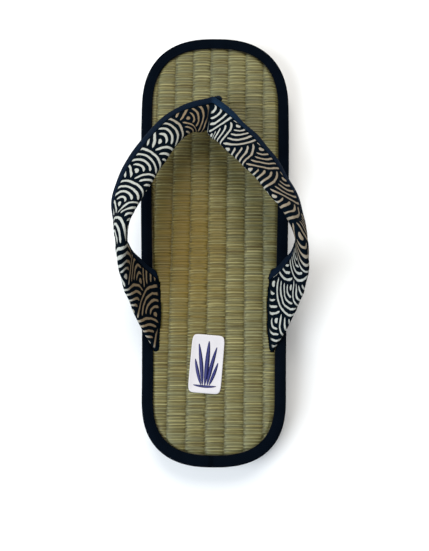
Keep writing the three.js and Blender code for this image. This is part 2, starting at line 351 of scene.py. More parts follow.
# Colours, mostly a dark and a light one to a material
FOAM_COLOURS = ((0.008, 0.009, 0.011), (0.018, 0.019, 0.021))
RUSH_TONES = [
    (0, (0.071, 0.055, 0.015)),
    (0.35, (0.112, 0.098, 0.0315)),
    (0.7, (0.165, 0.151, 0.057)),
    (1, (0.269, 0.249, 0.11)),
]
RUSH_GREEN = (0.13, 0.145, 0.085)
# Amber of the painted shadow on the mat
RUSH_AMBER_SHADOW = (0.152, 0.103, 0.012)
# Dark of the painted shade in the mat's gaps, valleys, rim and openings
RUSH_SHADE_COLOUR = (0.022, 0.017, 0.007)
RUSH_FIBRE_SCALE = (120, 1400, 400)
RUSH_PATCH = 0.5
BINDING_COLOURS = ((0.0003, 0.0008, 0.0018), (0.0021, 0.0047, 0.01))
EDGING_COLOURS = ((0.0012, 0.0035, 0.009), (0.01, 0.036, 0.085))
CREAM_COLOURS = ((0.25, 0.25, 0.22), (0.58, 0.62, 0.6))
# Brown that the cream is mixed towards as painted shade
CREAM_SHADE = (0.175, 0.105, 0.036)
GROUND_COLOURS = ((0.0004, 0.0018, 0.004), (0.0016, 0.0055, 0.011))
CARD_COLOURS = ((0.5, 0.49, 0.53), (0.585, 0.575, 0.61))
INK_COLOURS = ((0.006, 0.008, 0.07), (0.016, 0.02, 0.16))
FLOOR_COLOURS = ((0.9, 0.92, 0.95), (0.92, 0.94, 0.97))

# Studio, in metres
Light = namedtuple("Light", "name place size power colour")
LIGHTS = [
    Light("key_left", (-0.8, -0.5, 0.9), 1.1, 18.3, (0.92, 0.97, 1.0)),
    Light("fill_front", (0.05, 0.72, 1.0), 1.1, 13.7, (1.0, 0.95, 0.86)),
]
LIGHT_TARGET = (0, 0.02, 0.02)
WORLD_COLOUR = (0.97, 0.98, 1.0, 1)
WORLD_STRENGTH = 0.3
FLOOR_REACH = 4

# Camera, as the photograph was taken
PHOTO_HEIGHT_PX = 551
FOCAL_PX = 850
SENSOR = 36
CAMERA_PLACE = (0.58, -134.9, 543.2)
CAMERA_TILT = math.radians(12.17)
CAMERA_TURN = math.radians(0.26)
CAMERA_CLIP = 0.01


def lerp(start, end, share):
    return start + (end - start) * share


def smoothstep(value, start, end):
    share = np.clip((value - start) / (end - start), 0, 1)
    return share * share * (3 - 2 * share)


def bell(value, reach):
    """1 at 0, falling off on both sides."""
    return np.exp(-(value / reach) ** 2)


def middle(along):
    return along - LENGTH / 2


def run_lengths(points):
    """Lengths from the start of a line of points to each of them."""
    return np.concatenate([[0], np.cumsum(np.linalg.norm(np.diff(points, axis=0), axis=1))])


# Outline and heights along the sandal
def side_half_width(along):
    return lerp(HEEL_HALF_WIDTH, BALL_HALF_WIDTH, smoothstep(along, *WIDENING))


def outline_side():
    """One side of the outline from heel to toe, as columns across and along."""
    turn = np.linspace(0, math.pi / 2, END_STEPS + 1)
    reach = 1 - np.abs(np.cos(turn)) ** (2 / ROUND_POWER)
    reach[-1] = 1
    bulge = np.sin(turn) ** (2 / ROUND_POWER)
    heel = HEEL_ROUND * reach
    toe = LENGTH - TOE_ROUND * reach
    sides = np.linspace(HEEL_ROUND, LENGTH - TOE_ROUND, SIDE_STEPS + 1)[1:-1]
    along = np.concatenate([heel, sides, toe[::-1]])
    swell = np.concatenate([bulge, np.ones(len(sides)), bulge[::-1]])
    return np.column_stack([side_half_width(along) * swell, along])


def outline(inset):
    """The closed outline drawn in by an inset, as columns across and along."""
    side = outline_side()
    run = np.gradient(side, axis=0)
    run[0] = (1, 0)
    run[-1] = (-1, 0)
    run /= np.linalg.norm(run, axis=1)[:, None]
    drawn = np.column_stack([side[:, 0] - run[:, 1] * inset, side[:, 1] + run[:, 0] * inset])
    drawn[0, 0] = 0
    drawn[-1, 0] = 0
    other = drawn[-2:0:-1] * (-1, 1)
    return np.concatenate([drawn, other])


def underside(along):
    past = np.maximum(0, along - SPRING_START) / (LENGTH - SPRING_START)
    return TOE_SPRING * past ** 2


def sole_top(along):
    return underside(along) + lerp(HEEL_SOLE, BALL_SOLE, smoothstep(along, *DROP))


def mat_underside(along):
    return sole_top(along) + CLEARANCE


def footbed(along):
    return mat_underside(along) + MAT_THICKNESS


def ring_at(flat, height):
    return np.column_stack([flat[:, 0], middle(flat[:, 1]), height])


# Mesh helpers
def ring_faces(count, sides, closed_rows=False, caps=(), first=0):
    """Faces that join rings of points one to the next, and fill the rings counted in caps."""
    faces = []
    for ring in range(count if closed_rows else count - 1):
        here = first + ring * sides
        above = first + ((ring + 1) % count) * sides
        for side in range(sides):
            after = (side + 1) % sides
            faces.append((here + side, here + after, above + after, above + side))
    for ring in caps:
        start = first + ring * sides
        faces.append(tuple(range(start, start + sides)))
    return faces


def add_object(name, data):
    thing = bpy.data.objects.new(name, data)
    bpy.context.collection.objects.link(thing)
    return thing


def make_form(name, points, faces, fields=None, finish=None):
    """A mesh object. fields are named columns of numbers for its material."""
    mesh = bpy.data.meshes.new(name)
    mesh.from_pydata((np.asarray(points, float) * MM).tolist(), [], faces)
    for field, values in (fields or {}).items():
        attribute = mesh.attributes.new(field, "FLOAT_VECTOR", "POINT")
        attribute.data.foreach_set("vector", np.asarray(values, np.float32).ravel())
    shape = bmesh.new()
    shape.from_mesh(mesh)
    if finish:
        finish(shape)
    bmesh.ops.remove_doubles(shape, verts=shape.verts, dist=WELD * MM)
    bmesh.ops.recalc_face_normals(shape, faces=shape.faces)
    shape.to_mesh(mesh)
    shape.free()
    return add_object(name, mesh)


def cut_away(piece, space):
    """Takes the space that a neighbour needs out of a piece."""
    modifier = piece.modifiers.new("space", "BOOLEAN")
    modifier.operation = "DIFFERENCE"
    modifier.solver = "MANIFOLD"
    modifier.object = space
    whole = piece.data
    shown = piece.evaluated_get(bpy.context.evaluated_depsgraph_get())
    piece.data = bpy.data.meshes.new_from_object(shown)
    piece.modifiers.clear()
    bpy.data.meshes.remove(whole)


def make_piece(name, points, faces, material, slot, node=None, fields=None, finish=None, space=None):
    """A smooth closed mesh on the sandal's body, less the space that a neighbour needs."""
    piece = make_form(name, points, faces, fields, finish)
    if space:
        cut_away(piece, space)
    mesh = piece.data
    mesh.shade_smooth()
    mesh.polygons.foreach_set("material_index", [0] * len(mesh.polygons))
    mesh.materials.clear()
    mesh.materials.append(material)
    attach(piece, "root")
    if node:
        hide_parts(node)
    return piece


def make_ringed(name, rings, material, slot, cloth=None, closed_rows=False, caps=(), **rest):
    """A piece made of rings of points. cloth holds three numbers a point for its material."""
    faces = ring_faces(len(rings), len(rings[0]), closed_rows, caps)
    fields = {"cloth": np.concatenate(cloth)} if cloth is not None else None
    return make_piece(name, np.concatenate(rings), faces, material, slot, fields=fields, **rest)


# Shader helpers
class Value:
    """A number in a material's node tree that can be written in formulas."""

    def __init__(self, tree, socket):
        self.tree = tree
        self.socket = socket

    def math(self, operation, *others):
        node = self.tree.nodes.new("ShaderNodeMath")
        node.operation = operation
        for socket, value in zip(node.inputs, (self, *others)):
            if isinstance(value, Value):
                self.tree.links.new(value.socket, socket)
            else:
                socket.default_value = value
        return Value(self.tree, node.outputs[0])

    def __add__(self, other):
        return self.math("ADD", other)

    def __sub__(self, other):
        return self.math("SUBTRACT", other)

    def __mul__(self, other):
        return self.math("MULTIPLY", other)

    def __truediv__(self, other):
        return self.math("DIVIDE", other)

    def below(self, other):
        return self.math("LESS_THAN", other)

    def clamp(self):
        return self.math("MINIMUM", 1.0).math("MAXIMUM", 0.0)

    def fade(self, start, end):
        """0 up to the start, rising to 1 at the end."""
        return ((self - start) / (end - start)).clamp()


def new_material(name, roughness, **inputs):
    material = bpy.data.materials.new(name)
    material.use_nodes = True
    shader = material.node_tree.nodes["Principled BSDF"]
    shader.inputs["Roughness"].default_value = roughness
    for socket, value in inputs.items():
        shader.inputs[socket.replace("_", " ")].default_value = value
    return material, material.node_tree, shader


def field_values(tree, name):
    """The three numbers that a piece keeps for its material under a name."""
    attribute = tree.nodes.new("ShaderNodeAttribute")
    attribute.attribute_name = name
    parts = tree.nodes.new("ShaderNodeSeparateXYZ")
    tree.links.new(attribute.outputs["Vector"], parts.inputs[0])
    return attribute.outputs["Vector"], [Value(tree, socket) for socket in parts.outputs]


def noise(tree, scale, detail, vector=None):
    texture = tree.nodes.new("ShaderNodeTexNoise")
    texture.inputs["Scale"].default_value = scale
    texture.inputs["Detail"].default_value = detail
    if vector is None:
        vector = tree.nodes.new("ShaderNodeTexCoord").outputs["Object"]
    tree.links.new(vector, texture.inputs["Vector"])
    return texture


def noise_value(tree, scale, detail, vector=None):
    return Value(tree, noise(tree, scale, detail, vector).outputs["Fac"])


def mix_colours(tree, share, first, second):
    mix = tree.nodes.new("ShaderNodeMix")
    mix.data_type = "RGBA"
    tree.links.new(share.socket, mix.inputs["Factor"])
    colour_inputs = [socket for socket in mix.inputs if socket.type == "RGBA"]
    for socket, colour in zip(colour_inputs, (first, second)):
        if isinstance(colour, bpy.types.NodeSocket):
            tree.links.new(colour, socket)
        else:
            socket.default_value = (*colour, 1)
    return [socket for socket in mix.outputs if socket.type == "RGBA"][0]


def mottle(tree, shader, colours, scale, detail):
    """Colours a material between two colours by noise, and returns the noise."""
    share = noise_value(tree, scale, detail)
    tree.links.new(mix_colours(tree, share, *colours), shader.inputs["Base Color"])
    return share


def tone_ramp(tree, tone, tones):
    """A colour for each tone from 0 to 1, from pairs of a tone and its colour."""
    ramp = tree.nodes.new("ShaderNodeValToRGB")
    stops = ramp.color_ramp.elements
    for stop, (_, colour) in zip(stops, (tones[0], tones[-1])):
        stop.color = (*colour, 1)
    for position, colour in tones[1:-1]:
        stops.new(position).color = (*colour, 1)
    tree.links.new(tone.socket, ramp.inputs["Fac"])
    return ramp.outputs["Color"]


def bump(tree, shader, height, distance):
    node = tree.nodes.new("ShaderNodeBump")
    node.inputs["Distance"].default_value = distance * MM
    tree.links.new(height.socket, node.inputs["Height"])
    tree.links.new(node.outputs["Normal"], shader.inputs["Normal"])


def weave(along, around, pitch):
    """Height of a plain weave, 0 to 1, from two lengths on the cloth in millimetres."""
    warp = (along * (math.pi / pitch)).math("SINE")
    weft = (around * (math.pi / pitch)).math("SINE")
    return warp * weft * 0.5 + 0.5


# Materials
def foam_material():
    material, tree, shader = new_material("sole_foam", roughness=0.85, Specular_IOR_Level=0.2)
    mottle(tree, shader, FOAM_COLOURS, scale=60, detail=2)
    bump(tree, shader, noise_value(tree, scale=900, detail=3), distance=0.25)
    return material


def rush_material():
    material, tree, shader = new_material("rush_mat", roughness=0.5, Specular_IOR_Level=0.25)
    _, (tone, shade, green) = field_values(tree, "cloth")
    coordinates = tree.nodes.new("ShaderNodeTexCoord")
    stretch = tree.nodes.new("ShaderNodeMapping")
    stretch.inputs["Scale"].default_value = RUSH_FIBRE_SCALE
    tree.links.new(coordinates.outputs["Object"], stretch.inputs["Vector"])
    streak = noise_value(tree, scale=1, detail=3, vector=stretch.outputs["Vector"])
    patch = noise_value(tree, scale=45, detail=2)
    mixed_tone = (tone + (streak - 0.5) + (patch - 0.5) * RUSH_PATCH).clamp()
    dried = tone_ramp(tree, mixed_tone, RUSH_TONES)
    greened = mix_colours(tree, green.clamp(), dried, RUSH_GREEN)
    # Negative greenness mixes in amber, a painted shadow
    amber_shadowed = mix_colours(tree, (green * -1).clamp(), greened, RUSH_AMBER_SHADOW)
    # Shade mixes in the dark of painted shade
    tree.links.new(mix_colours(tree, shade, amber_shadowed, RUSH_SHADE_COLOUR), shader.inputs["Base Color"])
    bump(tree, shader, streak, distance=0.12)
    return material


def plain_cloth(name, colours, pitch, gloss, painted_highlight=False):
    """Plain woven cloth. The strap's strip gets a painted highlight: paler beside the apex, on the
    strap's right arm.
    """
    material, tree, shader = new_material(name, roughness=0.85, Specular_IOR_Level=gloss)
    vector, (along, around, _) = field_values(tree, "cloth")
    thread = weave(along, around, pitch)
    patch = noise_value(tree, scale=0.12, detail=3, vector=vector)
    slub = noise_value(tree, scale=1.6, detail=2, vector=vector)
    share = (thread * 0.6 + patch * 0.5 + slub * 0.5 - 0.3).clamp()
    if painted_highlight:
        # Painted highlight near the apex on the right arm
        right = (along / STRIP_HIGHLIGHT_REACH + 0.5).clamp() * along.fade(STRIP_HIGHLIGHT_LENGTH, 0)
        share = share * right.math("MAXIMUM", STRIP_HIGHLIGHT_LEAST)
    tree.links.new(mix_colours(tree, share, *colours), shader.inputs["Base Color"])
    bump(tree, shader, thread + slub * 0.6, distance=0.16)
    return material


Wave = namedtuple("Wave", "order reach spare")


def wave_candidates(along, around):
    """The wave circles that may cover a place on the cloth."""
    left = along.below(0.0)
    starts = [left * (on_left - on_right) + on_right
              for on_left, on_right in zip(WAVE_LEFT_START, WAVE_RIGHT_START)]
    from_along = along - starts[0]
    from_around = around - starts[1]
    nearest = (from_around / WAVE_COLUMN).math("ROUND")
    waves = []
    for step in (-1, 0, 1):
        column = nearest + step
        aside = from_around - column * WAVE_COLUMN
        climb = from_along - column * WAVE_COLUMN_SHIFT
        row = (climb / WAVE_PERIOD).math("FLOOR")
        for ahead in (0, 1):
            rise = climb - (row + ahead) * WAVE_PERIOD
            reach = (aside * aside + rise * rise).math("SQRT")
            waves.append(Wave((row + ahead) * WAVE_ROW_ORDER + step, reach, reach - WAVE_REACH))
    return waves


def wave_print(along, around):
    """Share of cream at a place on the cloth, where each row of circles lies over the next."""
    waves = wave_candidates(along, around)
    orders = [wave.order + wave.spare.math("GREATER_THAN", 0.0) * WAVE_OUTSIDE for wave in waves]
    best, reach = orders[0], waves[0].reach
    for wave, order in zip(waves[1:], orders[1:]):
        reach = (wave.reach - reach) * order.below(best) + reach
        best = order.math("MINIMUM", best)
    behind = [best.math("GREATER_THAN", wave.order) for wave in waves]
    room, *spares = [(wave.spare - WAVE_TIP) * hid + WAVE_TIP for wave, hid in zip(waves, behind)]
    for spare in spares:
        room = room.math("MINIMUM", spare)
    bold = along.fade(*WAVE_BOLD_RANGE) * WAVE_BOLD + WAVE_STRIPE
    half = (room / WAVE_TIP).clamp().math("SQRT") * bold
    band = (reach.math("MAXIMUM", WAVE_DOT) - WAVE_DOT) / WAVE_BAND
    off = (band - band.math("ROUND")).math("ABSOLUTE") * WAVE_BAND
    return ((half - off) / WAVE_EDGE + 0.5).clamp()


def painted_shade_share(along, around):
    """Share of painted shade, mixed in as brown, in the cream at a place on the cloth."""
    tail = along.fade(*BROWN_TAIL) * around.fade(*BROWN_TAIL_TURN)
    tucked = along.fade(*BROWN_TUCKED) * along.below(0.0)
    inner = along.fade(*TAN_ROLL_RANGE) * TAN_ROLL + TAN_TURN
    right = along.fade(*TAN_START) * along.fade(*TAN_END) * TAN
    right = right * ((inner - around) / TAN_TURN_REACH).clamp()
    return tail.math("MAXIMUM", tucked).math("MAXIMUM", right) * BROWN


def print_material():
    material, tree, shader = new_material("strap_print", roughness=0.9, Specular_IOR_Level=0.02)
    vector, (along, around, above) = field_values(tree, "cloth")
    sway = tree.nodes.new("ShaderNodeSeparateColor")
    tree.links.new(noise(tree, scale=0.16, detail=2, vector=vector).outputs["Color"], sway.inputs[0])
    sway_along, sway_around, _ = [Value(tree, socket) for socket in sway.outputs]
    drawn_along = along + (sway_along - 0.5) * (2 * WAVE_WOBBLE)
    drawn_around = around + (sway_around - 0.5) * (2 * WAVE_WOBBLE)
    # At the slits the print gives way to the dark ground as painted shade
    print_less_shade = along.math("ABSOLUTE").fade(*SEAM_RANGE) * above.fade(*SLIT_RANGE)
    cream = wave_print(drawn_along, drawn_around) * print_less_shade
    thread = weave(along, around, pitch=0.5)
    slub = noise_value(tree, scale=1.3, detail=3, vector=vector)
    wear = (thread * 0.6 + slub * 0.8 - 0.25).clamp()
    lit_cream = mix_colours(tree, wear, *CREAM_COLOURS)
    # Painted shade mixes the cream towards brown
    pale = mix_colours(tree, painted_shade_share(along, around), lit_cream, CREAM_SHADE)
    ground = mix_colours(tree, wear, *GROUND_COLOURS)
    tree.links.new(mix_colours(tree, cream, ground, pale), shader.inputs["Base Color"])
    bump(tree, shader, cream * 0.9 + thread * 0.5 + slub * 0.5, distance=0.14)
    return material


def card_material():
    material, tree, shader = new_material("label_card", roughness=0.42,
                                          Coat_Weight=0.15, Coat_Roughness=0.3)
    mottle(tree, shader, CARD_COLOURS, scale=120, detail=3)
    bump(tree, shader, noise_value(tree, scale=1500, detail=2), distance=0.05)
    return material


def ink_material():
    material, tree, shader = new_material("label_ink", roughness=0.5)
    density = mottle(tree, shader, INK_COLOURS, scale=500, detail=3)
    bump(tree, shader, density, distance=0.05)
    return material


# Sole
def make_sole():
    edge = outline(SOLE_EDGE_ROUND)
    spine = np.column_stack([np.zeros(len(edge)), np.clip(edge[:, 1], *SPINE)])

    def towards_spine(inset, depth):
        flat = lerp(edge, spine, inset / HEEL_HALF_WIDTH)
        return ring_at(flat, underside(flat[:, 1]) + depth)

    rings = [towards_spine(HEEL_HALF_WIDTH, 0)]
    for groove in reversed(TREAD_INSETS):
        for offset, depth in TREAD_SECTION:
            rings.append(towards_spine(groove + offset, depth))
    for step in range(SOLE_ROUND_STEPS + 1):
        turn = math.pi / 2 * step / SOLE_ROUND_STEPS
        flat = outline(SOLE_EDGE_ROUND * (1 - math.sin(turn)))
        rings.append(ring_at(flat, underside(flat[:, 1]) + SOLE_EDGE_ROUND * (1 - math.cos(turn))))
    rim = outline(0)
    low = underside(rim[:, 1]) + SOLE_EDGE_ROUND
    for share in SOLE_WALL_STEPS:
        rings.append(ring_at(rim, lerp(low, sole_top(rim[:, 1]), share)))
    tops = [outline(inset) for inset in SOLE_TOP_INSETS]
    tops += [lerp(tops[-1], spine, share) for share in SOLE_TOP_STEPS]
    rings += [ring_at(flat, sole_top(flat[:, 1])) for flat in tops]
    return make_ringed("sole_foam", rings, foam_material(), "sole_foam", node="sole")


# Woven rush mat
Strands = namedtuple("Strands", "edges tones greens lifts left_ends right_ends bow")


def draw_strands(chance):
    """The strands of one column, drawn by chance."""
    count = 2 * int(LENGTH / (STRAND_WIDE[0] + STRAND_FINE[0]) + 2)
    fine = np.arange(count) % 2
    fine_widths = chance.uniform(*STRAND_FINE, count)
    wide_widths = chance.uniform(*STRAND_WIDE, count)
    edges = np.cumsum(np.where(fine, fine_widths, wide_widths)) - chance.uniform(*STRAND_START)
    tones = chance.normal(STRAND_TONE_MEAN, STRAND_TONE_SPREAD, count) - FINE_DARK * fine
    greens = chance.uniform(*STRAND_GREEN, count) ** STRAND_GREEN_POWER
    lifts = chance.uniform(-STRAND_LIFT, STRAND_LIFT, count) - FINE_SINK * fine
    left_ends = chance.uniform(*STRAND_END, count)
    right_ends = chance.uniform(*STRAND_END, count)
    bow = chance.uniform(-STRAND_BOW, STRAND_BOW)
    return Strands(edges, np.clip(tones, 0, 1), greens, lifts, left_ends, right_ends, bow)


def rush_strands(across, along):
    """Depth below the footbed, tone, shade and greenness of the strands at each place."""
    chance = np.random.default_rng(RUSH_SEED)
    place = (across - COLUMN_PHASE - along * math.tan(COLUMN_SKEW)) / COLUMN_PITCH
    columns = np.floor(place).astype(int)
    dip, tone, shade, green = np.zeros((4, len(across)))
    for column in range(columns.min(), columns.max() + 1):
        drawn = draw_strands(chance)
        here = columns == column
        share = place[here] - column
        bow = drawn.bow * np.sin(math.pi * share)
        drift = bow + STRAND_DRIFT * np.sin(along[here] / STRAND_DRIFT_REACH + column)
        level = along[here] + drift
        strand = np.clip(np.searchsorted(drawn.edges, level), 1, len(drawn.edges) - 1)
        start, end = drawn.edges[strand - 1], drawn.edges[strand]
        within = 2 * (level - start) / (end - start) - 1
        round_off = 1 - np.sqrt(np.clip(1 - within ** 2, 0, 1))
        span = 1 - drawn.left_ends[strand] - drawn.right_ends[strand]
        reach = np.abs(2 * (share - drawn.left_ends[strand]) / span - 1)
        pillow = COLUMN_RELIEF * np.minimum(reach, 1) ** COLUMN_POWER
        valley = COLUMN_VALLEY * smoothstep(reach, *COLUMN_EDGE)
        dip[here] = pillow + valley + STRAND_RELIEF * round_off - drawn.lifts[strand]
        # Painted highlight on each strand's crest
        height = STRAND_HIGHLIGHT * (1 - FINE_HIGHLIGHT * (strand % 2))
        crest = height * bell(within, STRAND_HIGHLIGHT_REACH) - STRAND_HIGHLIGHT / 4
        # Painted light: each column's left side paler and greener, its right side darker
        lit_side = np.exp(-share / COLUMN_LIT_PALE_REACH) - COLUMN_LIT_PALE_REACH
        tone[here] = drawn.tones[strand] + crest + COLUMN_LIT_PALE * lit_side
        green[here] = drawn.greens[strand] + COLUMN_LIT_GREEN * lit_side
        gap = STRAND_GAP_SHADE * smoothstep(np.abs(within), *STRAND_GAP)
        shade[here] = np.maximum(gap, COLUMN_SHADE * smoothstep(reach, *COLUMN_SHADE_EDGE))
    return dip, tone, shade, green


Opening = namedtuple("Opening", "across along half_across half_along power")


def pit(across, along, opening):
    """1 inside a rounded opening in the mat, falling to 0 just outside it."""
    place = np.abs((across - opening.across) / opening.half_across) ** opening.power
    place = place + np.abs((along - opening.along) / opening.half_along) ** opening.power
    return 1 - smoothstep(place, 1, PIT_EDGE)


def mat_openings():
    """The post's hole and the strap's slits."""
    foot = POST[1]
    hole = foot.radius + POST_HOLE_ROOM
    openings = [Opening(foot.across, foot.along, hole, hole, POST_HOLE_POWER)]
    along = SLIT_ROW.along + SLIT_FORWARD
    for way in (-1, 1):
        across = way * SLIT_ROW.spread + lean(SLIT_ROW.along)
        openings.append(Opening(across, along, SLIT_HALF_WIDTH, SLIT_HALF_LENGTH, SLIT_POWER))
    return openings


def mat_grid():
    """Levels along the mat, its half width there, and where its rows are divided, in column pitches."""
    flat = outline(MAT_INSET)
    side = flat[: len(flat) // 2 + 1]
    rows = int((side[-1, 1] - side[0, 1]) / MAT_ROW_STEP)
    levels = np.linspace(side[0, 1] + MAT_END_MARGIN, side[-1, 1] - MAT_END_MARGIN, rows)
    half = np.interp(levels, side[:, 1], side[:, 0])
    count = math.ceil(BALL_HALF_WIDTH / COLUMN_PITCH) + 1
    steps = [column + np.array(COLUMN_STEPS) for column in range(-count, count)]
    for opening in mat_openings():
        beside = opening.across + opening.half_across * np.array(OPENING_STEPS)
        beside = beside - COLUMN_PHASE - opening.along * math.tan(COLUMN_SKEW)
        steps.append(beside / COLUMN_PITCH)
    return levels, half, np.unique(np.concatenate(steps))


def mat_top(across, along):
    """Depth below the footbed, tone, shade and greenness of the finished mat at each place."""
    dip, tone, shade, green = rush_strands(across, along)
    rim = np.full(len(across), LENGTH)
    for point in outline(0):
        rim = np.minimum(rim, np.hypot(across - point[0], along - point[1]))
    bare = rim - BINDING_WIDTH
    dip = dip + (BINDING_CLOTH + CLEARANCE) * (1 - smoothstep(bare, *MAT_TUCK))
    shade = np.maximum(shade, MAT_RIM_SHADE * (1 - smoothstep(bare, 0, MAT_RIM_SHADE_REACH)))
    for opening in mat_openings():
        inside = pit(across, along, opening)
        dip = lerp(dip, PIT_DEPTH, inside)
        shade = np.maximum(shade, inside)
    # The patch is a painted shadow, mixed in as amber through negative greenness
    (centre, reach), (level, length) = AMBER_SHADOW_ACROSS, AMBER_SHADOW_ALONG
    green = green - AMBER_SHADOW * bell(across - centre, reach) * bell(along - level, length)
    return dip, tone, shade, green


def make_mat(space):
    levels, half, steps = mat_grid()
    shift = COLUMN_PHASE + levels * math.tan(COLUMN_SKEW)
    across = np.clip(shift[:, None] + steps * COLUMN_PITCH, -half[:, None], half[:, None]).ravel()
    along = np.repeat(levels, len(steps))
    dip, tone, shade, green = mat_top(across, along)
    rows = (len(levels), len(steps), 3)
    top = np.column_stack([across, middle(along), footbed(along) - dip]).reshape(rows)
    look = np.column_stack([tone, shade, green]).reshape(rows)
    right = np.column_stack([half, middle(levels), mat_underside(levels)])[:, None]
    rings = np.concatenate([top, right, right * (-1, 1, 1)], axis=1)
    fields = np.pad(look, ((0, 0), (0, 2), (0, 0)))
    return make_ringed("rush_mat", rings, rush_material(), "rush_mat", fields, caps=(0, len(levels) - 1),
                       node="tatami_footbed", space=space)


# Binding
def binding_profile():
    """Insets and drops round the folded tape's section, from the foot of its wall over the top."""
    profile = [(0, drop) for drop in BINDING_WALL_DROPS]
    for step in range(BINDING_ROUND_STEPS + 1):
        turn = math.pi / 2 * step / BINDING_ROUND_STEPS
        profile.append((BINDING_ROUND * (1 - math.cos(turn)), BINDING_ROUND * (1 - math.sin(turn))))
    fold = BINDING_CLOTH / 2
    for step in range(1, BINDING_TOP_STEPS + 1):
        share = step / BINDING_TOP_STEPS
        crown = BINDING_CROWN * math.sin(math.pi * share)
        profile.append((lerp(BINDING_ROUND, BINDING_WIDTH - fold, share), -crown))
    for step in range(1, BINDING_FOLD_STEPS + 1):
        turn = math.pi * step / BINDING_FOLD_STEPS
        profile.append((BINDING_WIDTH - fold + fold * math.sin(turn), fold * (1 - math.cos(turn))))
    profile += [(inset, BINDING_CLOTH) for inset in (BINDING_UNDER, BINDING_CLOTH)]
    profile.append((BINDING_CLOTH, MAT_THICKNESS))
    return np.array(profile)


def binding_relief(inset, drop, length):
    """How the tape's top puckers and dips at its stitches, by lengths round the sandal."""
    if drop >= BINDING_TOP_DROP or inset <= BINDING_TOP_INSET:
        return 0
    seam = bell(inset - BINDING_WIDTH + STITCH_INSET, STITCH_SPREAD)
    stitch = np.cos(2 * math.pi * length / STITCH_PITCH) * 0.5 + 0.5
    pucker = PUCKER * np.sin(length / PUCKER_REACH + PUCKER_SWAY * np.sin(length / PUCKER_SWAY_REACH))
    return pucker - STITCH_DENT * seam * (1 + stitch)


def make_binding(space):
    rim = outline(0)
    lengths = run_lengths(np.concatenate([rim, rim[:1]]))
    length = lengths[:-1]
    profile = binding_profile()
    widths = run_lengths(profile)
    rings = []
    fields = []
    for (inset, drop), width in zip(profile, widths):
        flat = outline(inset)
        rings.append(ring_at(flat, footbed(flat[:, 1]) - drop + binding_relief(inset, drop, length)))
        fields.append(np.column_stack(np.broadcast_arrays(length, width, 0)))
    cloth = plain_cloth("binding_cloth", BINDING_COLOURS, pitch=0.8, gloss=0.015)
    piece = make_ringed("edge_tape", rings, cloth, "binding_cloth", fields, closed_rows=True,
                        node="edge_binding", space=space)
    over_fold = float(widths[profile[:, 0].argmax()])
    return piece


# Strap
def lean(along):
    reach = np.where(along > LEAN_CENTRE, LEAN_FRONT, LEAN_REAR)
    away = np.clip((along - LEAN_CENTRE) / reach, -1, 1)
    return -LEAN * np.cos(away * math.pi / 2) ** 2


def spline(points, share):
    """A point on the centripetal Catmull-Rom curve through the points, share from 0 to 1."""
    spans = len(points) - 1
    index = min(int(share * spans), spans - 1)
    weight = share * spans - index
    start, end = points[index], points[index + 1]
    before = points[index - 1] if index else 2 * start - end
    after = points[index + 2] if index + 2 <= spans else 2 * end - start
    gaps = [max(np.linalg.norm(b - a), 1e-6) ** 0.5
            for a, b in ((before, start), (start, end), (end, after))]
    leave = (start - before) / gaps[0] - (end - before) / (gaps[0] + gaps[1]) + (end - start) / gaps[1]
    reach = (end - start) / gaps[1] - (after - start) / (gaps[1] + gaps[2]) + (after - end) / gaps[2]
    leave = leave * gaps[1]
    reach = reach * gaps[1]
    cubic = 2 * start - 2 * end + leave + reach
    square = -3 * start + 3 * end - 2 * leave - reach
    return start + weight * (leave + weight * (square + weight * cubic))


ARM_PATH = [np.array([row.spread, middle(row.along), footbed(row.along) + row.up]) for row in ARM]
ARM_FORM = [np.array([row.roll, row.width, row.thick], float) for row in ARM]
Section = namedtuple("Section", "centre outward face width thick")


def arm_section(share, way):
    """Frame and size of one arm's section. Near the apex the sections fan round the inner corner."""
    centre = spline(ARM_PATH, share)
    roll, width, thick = spline(ARM_FORM, share)
    ahead = spline(ARM_PATH, min(1, share + ARM_TANGENT_STEP))
    tangent = Vector(ahead - spline(ARM_PATH, max(0, share - ARM_TANGENT_STEP))).normalized()
    fan = min(1, centre[0] / FAN_SPREAD)
    run = Vector((1, 0, 0)).lerp(tangent, fan).normalized()
    level = Vector((-run.y, run.x, 0)).normalized()
    untwist = TWIST * math.sin(math.pi * min(1, share / TWIST_END)) if way < 0 else 0
    outward = Matrix.Rotation(math.radians(untwist - roll), 3, run) @ level
    return Section(centre, np.array(outward), np.array(run.cross(outward)), width, thick)


def creases(along, around):
    """How far the strap's cloth stands out or folds in, from lengths along and round it."""
    broad, cross, small = [np.sin(along / ripple.along + around / ripple.around + ripple.start)
                           for ripple in RIPPLES]
    rise = LUMP * (broad * cross + small / 2)
    tucked = np.exp(np.minimum(along, 0) / APEX_TUCK_REACH) * (1 - smoothstep(along, *APEX_TUCK_END))
    on_face = 1 - smoothstep(np.abs(around), *APEX_TUCK_EDGE)
    rise = rise - tucked * lerp(APEX_TUCK_LEAST, APEX_TUCK, on_face)
    for crease in CREASES:
        turn = math.radians(crease.turn)
        off_along = along - crease.along
        off_around = around - crease.around
        beside = off_along * math.cos(turn) + off_around * math.sin(turn)
        down = off_around * math.cos(turn) - off_along * math.sin(turn)
        trough = bell(beside, crease.spread)
        ridges = bell(np.abs(beside) - 2 * crease.spread, crease.spread)
        rise = rise + crease.depth * bell(down, crease.reach) * (CREASE_RIDGE * ridges - trough)
    return rise


def settled(settle, along):
    return settle.size * bell(along - settle.along, settle.reach)


def tube_curve(turns, wide, deep, power):
    """Points of a rounded flat tube at turns from its front edge."""
    cosine, sine = np.cos(turns), np.sin(turns)
    return (np.sign(cosine) * np.abs(cosine) ** (2 / power) * wide,
            np.sign(sine) * np.abs(sine) ** (2 / power) * deep)


